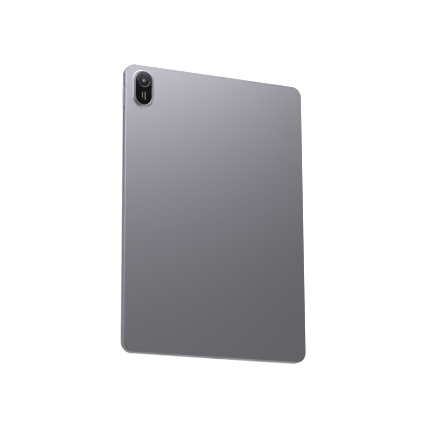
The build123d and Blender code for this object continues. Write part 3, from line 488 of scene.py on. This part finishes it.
def circuit_board():
    """Glass-epoxy board under dark green solder mask: raised copper tracks that run square
    to each other, and gold-plated pads."""
    material, tree, shader = start_material("circuit board", linear("#14301f"), roughness=0.35)
    tracks = add_node(
        tree,
        "ShaderNodeTexVoronoi",
        {"Vector": place(tree, (1, 1, 0)), "Scale": 1 / (2.2 * MM), "Randomness": 0.9},
        distance="CHEBYCHEV",
        feature="F2",
    )
    steps = {0: tracks.outputs["Distance"], 1: 0.2}
    lines = add_node(tree, "ShaderNodeMath", steps, operation="FLOORED_MODULO").outputs[0]
    copper = add_node(tree, "ShaderNodeMath", {0: lines, 1: 0.08}, operation="LESS_THAN").outputs[0]
    mask = colour_by(tree, shader, copper, linear("#10281a"), linear("#1d4a2c"))
    cells = add_node(
        tree,
        "ShaderNodeTexVoronoi",
        {"Vector": place(tree, (1, 1, 0)), "Scale": 1 / (1.6 * MM)},
    )
    near = {0: cells.outputs["Distance"], 1: 0.14}
    pads = add_node(tree, "ShaderNodeMath", near, operation="LESS_THAN").outputs[0]
    colour_by(tree, shader, pads, mask, linear("#c9a24a"))
    tree.links.new(pads, shader.inputs["Metallic"])
    rough_by(tree, shader, pads, 0.34, 0.25)
    relief(tree, shader, copper, 0.01 * MM)
    return material


def flexible_circuit(name, axis):
    """Amber polyimide with copper tracks 0.5 mm apart showing through it."""
    material, tree, shader = start_material(name, linear("#8a4f1c"), roughness=0.32)
    tracks = bands(tree, axis, 0.5 * MM, 0.5)
    colour_by(tree, shader, tracks, linear("#6e3d16"), linear("#a8662c"))
    rough_by(tree, shader, tracks, 0.36, 0.26)
    relief(tree, shader, tracks, 0.01 * MM)
    return material


def pouch_foil():
    """Nylon-faced aluminium laminate round a battery cell: satin silver-grey with soft
    dents and a fine embossed skin."""
    material, tree, shader = start_material("cell pouch laminate", linear("#8b8d90"), 0.75, 0.4)
    skin = grain(tree, 0.6 * MM)
    dents = grain(tree, 14 * MM, detail=2.0)
    colour_by(tree, shader, dents, linear("#7f8184"), linear("#97999c"))
    rough_by(tree, shader, skin, 0.34, 0.46)
    layers = {0: skin, 1: 0.06, 2: dents}
    height = add_node(tree, "ShaderNodeMath", layers, operation="MULTIPLY_ADD").outputs[0]
    relief(tree, shader, height, 0.25 * MM)
    return material


def woven_mesh():
    """Stainless mesh behind the grilles: wires every 0.25 mm, drawn every 0.4 mm."""
    material, tree, shader = start_material("woven mesh", linear("#2b2b2d"), 0.9, 0.4)
    wires = {0: bands(tree, "X", 0.4 * MM, 0.5), 1: bands(tree, "Z", 0.4 * MM, 0.5)}
    gaps = add_node(tree, "ShaderNodeMath", wires, operation="MULTIPLY").outputs[0]
    colour_by(tree, shader, gaps, linear("#3a3a3d"), linear("#050505"))
    rough_by(tree, shader, gaps, 0.35, 0.9)
    relief(tree, shader, gaps, 0.04 * MM)
    return material


def diaphragm(name, node):
    """Moulded polyester diaphragm: pressed rings round an aluminium-faced middle."""
    low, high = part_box(node)
    middle = (low + high) / 2
    material, tree, shader = start_material(name, linear("#2a2b2e"), roughness=0.36)
    span = (1 / (high.x - low.x), 1 / (high.y - low.y), 0)
    away = {0: place(tree, span, middle)}
    length = add_node(tree, "ShaderNodeVectorMath", away, operation="LENGTH").outputs["Value"]
    core = add_node(tree, "ShaderNodeMath", {0: length, 1: 0.3}, operation="LESS_THAN").outputs[0]
    waves = {0: length, 1: 1 / 12}
    rings = add_node(tree, "ShaderNodeMath", waves, operation="FLOORED_MODULO").outputs[0]
    colour_by(tree, shader, core, linear("#26272a"), linear("#8f9194"))
    tree.links.new(core, shader.inputs["Metallic"])
    rough_by(tree, shader, core, 0.42, 0.26)
    relief(tree, shader, rings, 0.6 * MM)
    return material


def pinned_connector():
    """Board connectors: black polymer with gold-plated pins every 0.4 mm, drawn every 0.8 mm."""
    material, tree, shader = start_material("pinned connector", linear("#1b1a19"), roughness=0.5)
    pins = bands(tree, "X", 0.8 * MM, 0.4)
    colour_by(tree, shader, pins, linear("#1b1a19"), linear("#c7a04a"))
    tree.links.new(pins, shader.inputs["Metallic"])
    rough_by(tree, shader, pins, 0.55, 0.25)
    relief(tree, shader, pins, 0.03 * MM)
    return material


# ---------------------------------------------------------------- settings


class TabletFinish(bpy.types.PropertyGroup):
    """Colours and texture of the metal and glass that show from outside."""

    housing: FloatVectorProperty(
        name="Housing colour",
        description="Dye of the anodised housing and keys",
        default=linear("#5f5e63"),
        size=3,
        subtype="COLOR",
        min=0,
        max=1,
    )
    cut: FloatVectorProperty(
        name="Cut edge colour",
        description="Bright aluminium where the edge is cut after anodising",
        default=linear("#7f7e84"),
        size=3,
        subtype="COLOR",
        min=0,
        max=1,
    )
    housing_roughness: FloatProperty(
        name="Housing roughness",
        description="How far the blasted surface spreads a reflection",
        default=0.44,
        min=0,
        max=1,
        subtype="FACTOR",
    )
    cut_roughness: FloatProperty(
        name="Cut edge roughness",
        description="How far the cut edge spreads a reflection",
        default=0.36,
        min=0,
        max=1,
        subtype="FACTOR",
    )
    mottle: FloatProperty(
        name="Mottle",
        description="How much lighter and darker the blasted grain is",
        default=0.05,
        min=0,
        max=1,
        subtype="FACTOR",
    )
    blast_grain: FloatProperty(
        name="Blast grain",
        description="Size of one mark left by the beads",
        default=0.35 * MM,
        unit="LENGTH",
    )
    blast_depth: FloatProperty(
        name="Blast depth",
        description="Depth of one mark left by the beads",
        default=0.0015 * MM,
        unit="LENGTH",
    )
    ink: FloatVectorProperty(
        name="Window ink",
        description="Black behind the camera window",
        default=linear("#050506"),
        size=3,
        subtype="COLOR",
        min=0,
        max=1,
    )


class TabletIsland(bpy.types.PropertyGroup):
    """Sizes of the camera island."""

    skirt: FloatProperty(
        name="Skirt width",
        description="Width of the hollow slope that rises to the lip",
        default=1.45 * MM,
        unit="LENGTH",
    )
    lip: FloatProperty(
        name="Lip width",
        description="Width of the flat lip along the ring's top",
        default=0.5 * MM,
        unit="LENGTH",
    )
    ledge: FloatProperty(
        name="Ledge width",
        description="Width of the ledge that carries the window",
        default=0.95 * MM,
        unit="LENGTH",
    )
    window_bevel: FloatProperty(
        name="Window bevel",
        description="Width of the bevel round the window's edge",
        default=0.9 * MM,
        unit="LENGTH",
    )
    window_drop: FloatProperty(
        name="Window bevel drop",
        description="How far the bevel falls towards the window's edge",
        default=0.3 * MM,
        unit="LENGTH",
    )
    dome: FloatProperty(
        name="Dome height",
        description="How far the glass inside the lens ring domes up",
        default=0.16 * MM,
        unit="LENGTH",
    )
    ring_width: FloatProperty(
        name="Lens ring width",
        description="Width of the lens ring, from its outer to its inner edge",
        default=0.75 * MM,
        unit="LENGTH",
    )
    opening: FloatProperty(
        name="Lens opening",
        description="Radius of the clear opening over the lens",
        default=1.6 * MM,
        unit="LENGTH",
    )


class TabletStudio(bpy.types.PropertyGroup):
    """Camera, lights and floor."""

    lens: FloatProperty(
        name="Focal length",
        description="Focal length of the camera, in millimetres",
        default=138.07,
        min=1,
        unit="CAMERA",
    )
    floor_tone: FloatVectorProperty(
        name="Floor",
        description="Colour of the paper floor",
        default=linear("#f7f7f7"),
        size=3,
        subtype="COLOR",
        min=0,
        max=1,
    )
    air: FloatProperty(
        name="Surroundings",
        description="Brightness of the empty studio",
        default=0.455,
        min=0,
    )
    key_power: FloatProperty(
        name="Key box",
        description="Power of the soft box beyond the camera corner",
        default=17.5,
        min=0,
        subtype="POWER",
    )
    edge_power: FloatProperty(
        name="Edge box",
        description="Power of the soft box that lights the long edge",
        default=8.5,
        min=0,
        subtype="POWER",
    )
    low_power: FloatProperty(
        name="Low box",
        description="Power of the soft box that lights the near side of the camera island",
        default=6.5,
        min=0,
        subtype="POWER",
    )
    wash_power: FloatProperty(
        name="Floor wash",
        description="Power of the light over the floor",
        default=52.0,
        min=0,
        subtype="POWER",
    )


# ---------------------------------------------------------------- pieces


class DressHousing(bpy.types.Operator):
    """The aluminium housing, with its cut chamfers, and the keys in its edge."""

    bl_idname = "tablet.dress_housing"
    bl_label = "Housing and keys"

    def execute(self, context):
        look = context.scene.tablet_finish
        low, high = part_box("rear_cover")
        chamfers = [
            ("Z", high.z - BACK_CHAMFER + HAIR, high.z - HAIR),
            ("Z", low.z + HAIR, low.z + FRONT_CHAMFER - HAIR),
        ]
        dress(blasted_aluminium("blasted aluminium", look, chamfers), "rear_cover")
        low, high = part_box("volume_rocker")
        face = [("X", low.x - HAIR, low.x + HAIR)]
        keys = blasted_aluminium("blasted key aluminium", look, face)
        dress(keys, "volume_rocker", "power_button")
        return {"FINISHED"}


class BuildIsland(bpy.types.Operator):
    """The raised camera ring: a hollow skirt up to a flat lip, and the window's ledge."""

    bl_idname = "tablet.build_island"
    bl_label = "Camera island"

    def execute(self, context):
        size = context.scene.tablet_island
        centre, radius, straight, base, top = oval("camera_ring")
        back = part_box("rear_cover")[1].z
        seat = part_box("camera_window")[0].z
        brow = radius - size.skirt
        lip = brow - size.lip
        spigot = radius - 1.1 * MM
        flange = base + 0.4 * MM
        groove = 0.07 * MM
        round_over = 0.08 * MM
        break_edge = 0.04 * MM
        foot = [(radius, flange), (radius, back - 0.2 * MM), (radius - groove, back - 0.15 * MM)]
        hollow = (brow + 0.12 * MM, back + 0.3 * MM)  # what the skirt's curve is drawn towards
        skirt = bowed(
            (radius - groove, back + 0.03 * MM), hollow, (brow, top - round_over), steps=14
        )
        inside = [
            (brow - round_over, top),
            (lip, top),
            (lip - break_edge, top - break_edge),
            (lip - break_edge, seat),
            (lip - size.ledge, seat),
            (lip - size.ledge, base),
            (spigot, base),
            (spigot, flange),
        ]
        profile = with_share(np.concatenate([foot, skirt, inside]))
        brow_at = len(foot) + len(skirt) - 1
        ring = make_piece(
            "camera_island",
            carried_round(profile, centre, straight),
            even_finish("turned aluminium"),
            second=(even_finish("diamond-cut aluminium"), brow_at, brow_at + 3),
        )
        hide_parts("camera_ring")
        return {"FINISHED"}


class BuildWindow(bpy.types.Operator):
    """The camera window: a black oval of bevelled glass that domes up inside the lens ring
    to a clear opening."""

    bl_idname = "tablet.build_window"
    bl_label = "Camera window"

    def execute(self, context):
        look, size = context.scene.tablet_finish, context.scene.tablet_island
        centre, radius, straight, base, top = oval("camera_window")
        inner = oval("camera_lens_ring")[1] - size.ring_width

        def dome(offset):
            """The height of the cover: highest at the middle, level at the ring."""
            return top + size.dome * (1 - (offset / inner) ** 2)

        edge = 0.25 * MM
        slope = size.window_drop / size.window_bevel
        turn = np.linspace(0, np.pi / 2, 6)
        rim = np.column_stack(
            [
                radius - edge + edge * np.cos(turn),
                top - size.window_drop + edge * (np.sin(turn) - 1 + slope * np.sin(turn)),
            ]
        )
        flat = radius - size.window_bevel
        bevel_end = [(flat + 0.08 * MM, top - 0.02 * MM), (flat - 0.05 * MM, top)]
        outer = with_share(np.concatenate([[(radius, base)], rim, bevel_end]))
        offset = np.linspace(inner, size.opening, 9)
        cover = np.column_stack([offset, dome(offset)])
        middle = [[(inner + 0.3 * MM, top)], cover, [(size.opening, base)]]
        cover_at = len(outer) + 1
        glass = make_piece(
            "camera_window_glass",
            carried_round(
                np.concatenate([outer, with_share(np.concatenate(middle), 0)]), centre, straight
            ),
            black_glass("black-backed glass", tuple(look.ink), 0.05, 0.06),
            crease=50,
            second=(
                black_glass("domed cover glass", tuple(look.ink), 0.2, 0.06),
                cover_at,
                cover_at + len(cover) - 1,
            ),
        )
        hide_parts("camera_window")
        clear = size.opening - 0.02 * MM
        offset = np.linspace(0, clear, 7)
        disc = np.concatenate([np.column_stack([offset, dome(offset)]), [(clear, base), (0, base)]])
        opening = make_piece(
            "camera_window_opening", carried_round(with_share(disc, 0), centre), clear_glass()
        )
        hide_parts("camera_window")
        return {"FINISHED"}


class BuildLensRing(bpy.types.Operator):
    """The lens ring: a coated steel hoop with a rounded crest and a dark inner slope."""

    bl_idname = "tablet.build_lens_ring"
    bl_label = "Lens ring"

    def execute(self, context):
        size = context.scene.tablet_island
        centre = oval("camera_window")[0]
        _, radius, _, base, top = oval("camera_lens_ring")
        inner = radius - size.ring_width
        coated = 4  # faces of the profile, from the outer foot to near the end of the crest
        hoop = rounded(
            [
                (radius, base),
                (radius - 0.2 * MM, top),
                (inner + 0.1 * MM, base + 0.08 * MM),
                (inner, base),
            ],
            (0, 0.08 * MM, 0.02 * MM, 0),
            steps=4,
        )
        ring = make_piece(
            "camera_lens_bezel",
            carried_round(with_share(hoop, 0), centre),
            even_finish("black-anodised barrel"),
            second=(even_finish("coated steel ring"), 0, coated),
        )
        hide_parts("camera_lens_ring")
        return {"FINISHED"}


class PrintBars(bpy.types.Operator):
    """The two plain bars that are printed on the window."""

    bl_idname = "tablet.print_bars"
    bl_label = "Printed bars"

    def execute(self, context):
        centre, *_, top = oval("camera_window")
        print_ink = even_finish("printed pearl ink")
        half, thick = 0.22 * MM, 0.02 * MM
        corners = [(half, top), (half, top + thick), (0, top + thick), (0, top)]
        bar = with_share(rounded(corners, (0, thick / 2, 0, 0), steps=2))
        # Each bar's place across and along from the middle of the lens, and its length, in mm
        for name, x, y, length in (
            ("camera_window_bar_left", -1.45, -13.7, 5.1),
            ("camera_window_bar_right", 1.15, -14.3, 7.4),
        ):
            start = (centre[0] + x * MM, centre[1] + (y + length / 2) * MM - half)
            mark = make_piece(
                name, carried_round(bar, start, length * MM - 2 * half, steps=12), print_ink
            )
        return {"FINISHED"}


class BuildCamera(bpy.types.Operator):
    """The camera under the window, with its coated lens and its painted blue glint, barrel
    and housing, and the front camera, whose lens has a painted glint too."""

    bl_idname = "tablet.build_camera"
    bl_label = "Camera"

    def execute(self, context):
        centre, radius, _, base, top = oval("camera_lens")
        offset = np.linspace(0, radius, 14)
        cap = np.column_stack([offset, top - 0.3 * MM * (offset / radius) ** 2])
        profile = with_share(np.concatenate([cap, [(radius, base), (0, base)]]), 0)
        # The lens's colour holds a painted blue glint at its middle
        lens = make_piece(
            "camera_front_lens",
            carried_round(profile, centre),
            lens_with_painted_glint("camera lens with painted glint", "camera_lens"),
            body="camera_lens_barrel",
        )
        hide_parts("camera_lens")
        dress(even_finish("black-anodised barrel"), "camera_lens_barrel")
        dress(even_finish("glass-filled nylon"), "camera_housing", "front_camera")
        # The front lens takes the same painted blue glint at its middle
        dress(lens_with_painted_glint("front lens with painted glint", "front_camera_lens"), "front_camera_lens")
        return {"FINISHED"}


class DressScreen(bpy.types.Operator):
    """The bonded front glass, its trim and gasket, and the layers of the display."""

    bl_idname = "tablet.dress_screen"
    bl_label = "Screen"

    def execute(self, context):
        dress(screen_glass(), "cover_glass")
        dress(panel_glass(), "lcd_cell")
        dress(even_finish("moulded polycarbonate"), "display_trim")
        dress(even_finish("closed-cell foam"), "display_gasket", "microphone_boot")
        dress(even_finish("prism film"), "optical_films")
        dress(dotted_acrylic(), "light_guide")
        dress(even_finish("foamed polyester"), "reflector_sheet")
        dress(even_finish("zinc-coated steel"), "backlight_tray")
        dress(lamp_board(), "led_strip")
        return {"FINISHED"}


class DressBoards(bpy.types.Operator):
    """The circuit boards, chips, shield cans, connectors and flexible circuits."""

    bl_idname = "tablet.dress_boards"
    bl_label = "Boards"

    def execute(self, context):
        dress(
            circuit_board(),
            "display_driver_board",
            "main_board",
            "usb_board",
            "battery_protection_board",
            "camera_sensor_board",
        )
        along = flexible_circuit("flexible circuit along", "X")
        dress(along, "display_cable", "main_flex", "display_flex")
        dress(flexible_circuit("flexible circuit across", "Y"), "camera_flex", "key_flex")
        dress(even_finish("epoxy moulding"), "processor", "memory_chip", "light_sensor")
        cans = even_finish("tinned nickel silver")
        dress(cans, "shield_cans", "usb_bracket", "key_brackets")
        dress(even_finish("pressed graphite"), "graphite_sheet")
        dress(pinned_connector(), "board_connectors")
        dress(even_finish("antenna plastic"), "antennas")
        dress(even_finish("plated microphone can"), "microphone")
        return {"FINISHED"}


class DressPower(bpy.types.Operator):
    """The battery cells and the adhesive that holds them."""

    bl_idname = "tablet.dress_power"
    bl_label = "Battery"

    def execute(self, context):
        dress(pouch_foil(), "battery_cell_left", "battery_cell_right")
        dress(even_finish("adhesive film"), "battery_adhesive")
        return {"FINISHED"}


class DressFittings(bpy.types.Operator):
    """The port, the key switches with their plungers, and the screws."""

    bl_idname = "tablet.dress_fittings"
    bl_label = "Port, switches and screws"

    def execute(self, context):
        dress(even_finish("drawn stainless steel"), "usb_shell")
        dress(even_finish("moulded polyamide"), "usb_tongue")
        dress(even_finish("liquid-crystal polymer"), "key_switches")
        dress(even_finish("moulded acetal"), "volume_up_plunger", "volume_down_plunger")
        dress(even_finish("black-nickel steel"), "screws")
        return {"FINISHED"}


class DressSpeakers(bpy.types.Operator):
    """The four speakers: boxes, diaphragms, magnets and the mesh behind the grilles."""

    bl_idname = "tablet.dress_speakers"
    bl_label = "Speakers"

    def execute(self, context):
        box = even_finish("glass-filled nylon")
        for corner in ("top_left", "top_right", "bottom_left", "bottom_right"):
            dress(box, f"speaker_box_{corner}")
            node = f"speaker_diaphragm_{corner}"
            dress(diaphragm(f"pressed diaphragm {corner}", node), node)
        dress(even_finish("nickel-plated magnet"), "speaker_magnets")
        dress(woven_mesh(), "speaker_meshes")
        return {"FINISHED"}


def paper_floor(studio):
    """A wide sheet of matt paper just under the glass."""
    corners = FLOOR_REACH * np.array([(-1, -1), (1, -1), (1, 1), (-1, 1)])
    sheet = bpy.data.meshes.new("paper_floor")
    sheet.from_pydata([(x, y, -0.01 * MM) for x, y in corners], [], [(0, 1, 2, 3)])
    paper, tree, shader = start_material("matt paper", studio.floor_tone, roughness=0.9)
    fibres = grain(tree, 2 * MM)
    shades = [tuple(c * s for c in studio.floor_tone) for s in (0.99, 1.0)]
    colour_by(tree, shader, fibres, *shades)
    sheet.materials.append(paper)
    floor = bpy.data.objects.new("paper_floor", sheet)
    bpy.context.scene.collection.objects.link(floor)
    return floor


def surroundings(studio):
    """Even light from all round, which fades towards the dark side."""
    world = bpy.data.worlds.new("studio")
    world.use_nodes = True
    air = world.node_tree
    air.nodes.clear()
    coords = add_node(air, "ShaderNodeTexCoord")
    sides = {0: coords.outputs["Generated"], 1: DARK_SIDE}
    toward = add_node(air, "ShaderNodeVectorMath", sides, operation="DOT_PRODUCT")
    strength = add_node(
        air,
        "ShaderNodeMapRange",
        {
            "Value": toward.outputs["Value"],
            "From Min": DARK_FADE[0],
            "From Max": DARK_FADE[1],
            "To Min": studio.air,
            "To Max": studio.air * DARK_SHARE,
        },
        interpolation_type="SMOOTHSTEP",
    )
    shine = add_node(
        air,
        "ShaderNodeBackground",
        {"Color": (1, 1, 1, 1), "Strength": strength.outputs["Result"]},
    )
    add_node(air, "ShaderNodeOutputWorld", {"Surface": shine.outputs["Background"]})
    return world


def hang_light(name, power, lit):
    """Hangs a rectangular light in its place, aims it, and says what it lights."""
    spot, size, aim = LIGHTS[name]
    light = bpy.data.lights.new(name, "AREA")
    light.shape = "RECTANGLE"
    light.size, light.size_y = size
    light.energy = power
    lamp = bpy.data.objects.new(name, light)
    lamp.visible_camera = False
    lamp.location = spot
    lamp.rotation_euler = (Vector(aim) - Vector(spot)).to_track_quat("-Z", "Y").to_euler()
    lamp.light_linking.receiver_collection = lit
    bpy.context.scene.collection.objects.link(lamp)


class BuildStudio(bpy.types.Operator):
    """The paper floor, the soft lights and the camera."""

    bl_idname = "tablet.build_studio"
    bl_label = "Studio"

    def execute(self, context):
        studio, scene = context.scene.tablet_studio, context.scene
        floor = paper_floor(studio)
        scene.world = surroundings(studio)
        # The three boxes light only the object, and the wash lights only the floor
        only_floor = bpy.data.collections.new("only_floor")
        only_floor.objects.link(floor)
        never_floor = bpy.data.collections.new("never_floor")
        never_floor.objects.link(floor)
        never_floor.collection_objects[0].light_linking.link_state = "EXCLUDE"
        hang_light("key_box", studio.key_power, never_floor)
        hang_light("edge_box", studio.edge_power, never_floor)
        hang_light("low_box", studio.low_power, never_floor)
        hang_light("floor_wash", studio.wash_power, only_floor)
        view = bpy.data.cameras.new("camera")
        view.lens = studio.lens
        view.clip_start, view.clip_end = 0.01, 50
        camera = bpy.data.objects.new("camera", view)
        turn = Euler([np.radians(angle) for angle in CAMERA_TURN])
        camera.matrix_world = Matrix.LocRotScale(Vector(CAMERA_PLACE), turn, None)
        scene.collection.objects.link(camera)
        scene.camera = camera
        scene.view_settings.view_transform = "Standard"
        return {"FINISHED"}


PIECES = (
    DressHousing,
    BuildIsland,
    BuildWindow,
    BuildLensRing,
    PrintBars,
    BuildCamera,
    DressScreen,
    DressBoards,
    DressPower,
    DressFittings,
    DressSpeakers,
    BuildStudio,
)
SETTINGS = {
    "tablet_finish": TabletFinish,
    "tablet_island": TabletIsland,
    "tablet_studio": TabletStudio,
}


class TabletPanel(bpy.types.Panel):
    """Lists the pieces, the studio and the settings in the 3D view's sidebar."""

    bl_idname = "VIEW3D_PT_tablet"
    bl_label = "Tablet computer"
    bl_space_type = "VIEW_3D"
    bl_region_type = "UI"
    bl_category = "Tablet"

    def draw(self, context):
        for piece in PIECES:
            self.layout.operator(piece.bl_idname)
        for name, group in SETTINGS.items():
            box = self.layout.box()
            for setting in group.__annotations__:
                box.prop(getattr(context.scene, name), setting)


def register():
    """Registers the settings, the pieces and the panel, and hangs the settings on the scene."""
    for kind in (*SETTINGS.values(), *PIECES, TabletPanel):
        bpy.utils.register_class(kind)
    for name, group in SETTINGS.items():
        setattr(bpy.types.Scene, name, PointerProperty(type=group))


def unregister():
    """Takes back what register did, in the opposite order."""
    for name in SETTINGS:
        delattr(bpy.types.Scene, name)
    for kind in reversed((*SETTINGS.values(), *PIECES, TabletPanel)):
        bpy.utils.unregister_class(kind)


def main():
    """Makes every piece and the studio."""
    register()
    bpy.ops.tablet.dress_housing()
    bpy.ops.tablet.build_island()
    bpy.ops.tablet.build_window()
    bpy.ops.tablet.build_lens_ring()
    bpy.ops.tablet.print_bars()
    bpy.ops.tablet.build_camera()
    bpy.ops.tablet.dress_screen()
    bpy.ops.tablet.dress_boards()
    bpy.ops.tablet.dress_power()
    bpy.ops.tablet.dress_fittings()
    bpy.ops.tablet.dress_speakers()
    bpy.ops.tablet.build_studio()


if __name__ == "__main__":
    main()
